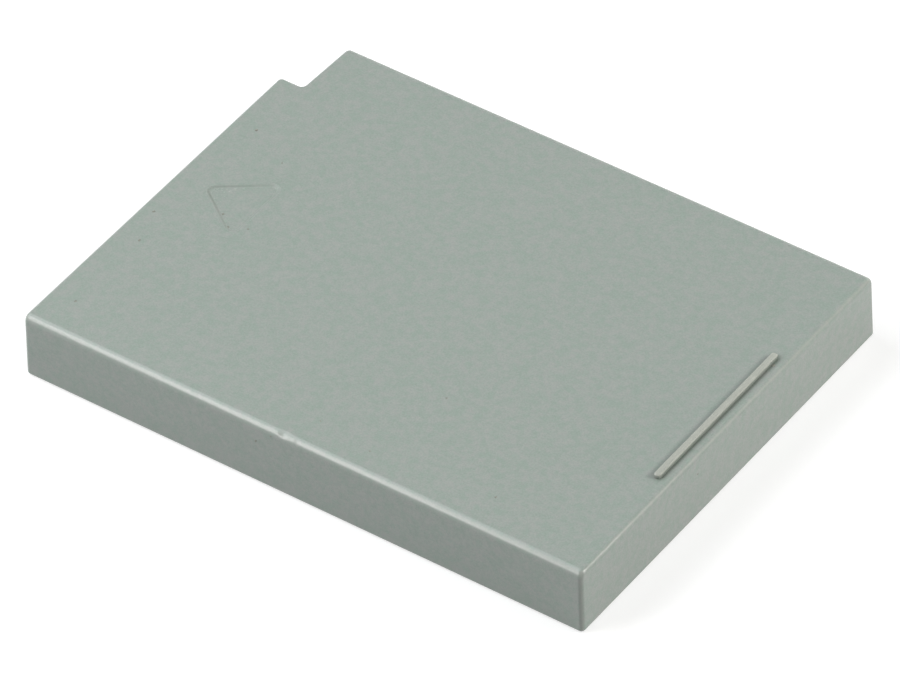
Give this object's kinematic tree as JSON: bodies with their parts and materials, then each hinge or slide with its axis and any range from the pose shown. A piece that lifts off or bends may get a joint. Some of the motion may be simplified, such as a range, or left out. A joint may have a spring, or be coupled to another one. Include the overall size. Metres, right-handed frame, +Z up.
{
  "type": "camera battery",
  "caption": "Flat rectangular rechargeable pack with a keyed corner, a pull rib, a sunk insertion arrow and gold contacts in one end.",
  "frame": {"origin": "centre of the base, on the surface the pack lies on", "axes": "+X along the pack from the contact end to the pull end, +Y across it towards the long side with the keyed corner, +Z up"},
  "size_m": [0.0466, 0.0354, 0.0058],
  "materials": {
    "case_plastic": "satin grey-green moulding",
    "contact_gold": "gold-plated, rubbed"
  },
  "bodies": {
    "root": {"case": "case_plastic", "positive_contact": "contact_gold", "signal_contact": "contact_gold", "negative_contact": "contact_gold"}
  },
  "joints": []
}
